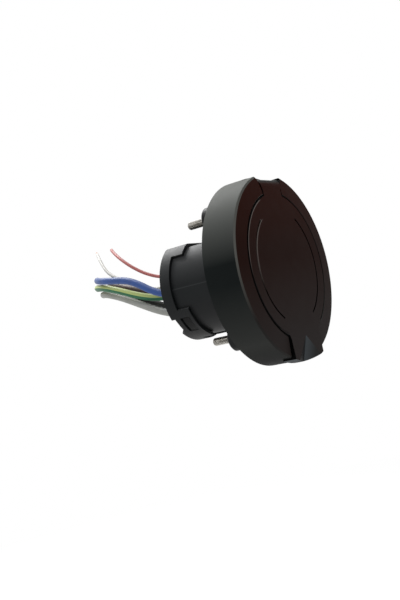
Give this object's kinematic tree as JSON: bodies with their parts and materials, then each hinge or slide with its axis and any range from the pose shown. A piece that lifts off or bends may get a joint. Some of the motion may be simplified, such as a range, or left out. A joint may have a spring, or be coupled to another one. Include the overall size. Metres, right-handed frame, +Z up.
{
  "type": "ev charging socket",
  "caption": "Round panel socket for charging an electric car, with a sprung hinged lid, keyed contact core, clipped rear cap, stud mounting and bare wire tails.",
  "frame": {"origin": "centre of the four mounting bolts, in the plane of the panel that the bosses seat on", "axes": "+Y points backwards through the panel along the socket's axis, the lid faces -Y, +Z is up, towards the hinge"},
  "size_m": [0.1226, 0.1926, 0.119],
  "materials": {
    "black_plastic": "fine matt moulded black",
    "body_plastic": "matt moulded black",
    "seal_rubber": "soft matt black rubber",
    "steel": "bright zinc plated steel",
    "silvered_brass": "silver plated brass",
    "copper": "bare stranded copper",
    "insulation_n": "blue soft insulation",
    "insulation_pe": "green and yellow striped insulation",
    "insulation_l1": "brown soft insulation",
    "insulation_l2": "black soft insulation",
    "insulation_l3": "grey soft insulation",
    "insulation_cp": "red soft insulation",
    "insulation_pp": "white soft insulation"
  },
  "bodies": {
    "socket": {"bezel": "black_plastic", "hinge_pin": "steel", "lid_spring": "steel", "socket_body": "body_plastic", "mounting_flange": "body_plastic", "contact_carrier": "body_plastic", "contact_retainer": "body_plastic", "retainer_screw": "steel", "rear_cap": "body_plastic", "lead_grommet": "seal_rubber", "body_gasket": "seal_rubber", "mounting_bolts": "steel", "bezel_screws": "steel", "contact_pe": "silvered_brass", "contact_n": "silvered_brass", "contact_l1": "silvered_brass", "contact_l2": "silvered_brass", "contact_l3": "silvered_brass", "contact_cp": "silvered_brass", "contact_pp": "silvered_brass", "lead_n": "insulation_n", "lead_pe": "insulation_pe", "lead_l1": "insulation_l1", "lead_l2": "insulation_l2", "lead_l3": "insulation_l3", "lead_cp": "insulation_cp", "lead_pp": "insulation_pp", "strands_n": "copper", "strands_pe": "copper", "strands_l1": "copper", "strands_l2": "copper", "strands_l3": "copper", "strands_cp": "copper", "strands_pp": "copper"},
    "lid": {"lid": "black_plastic", "lid_seal": "seal_rubber"}
  },
  "joints": [
    {"name": "lid_hinge", "type": "hinge", "parent": "socket", "child": "lid", "pos_m": [0, -0.0264, 0.0504], "axis": [-1, 0, 0], "range_deg": [0, 110], "stiffness_Nm_per_rad": 0.03, "springref_deg": -57.3}
  ]
}
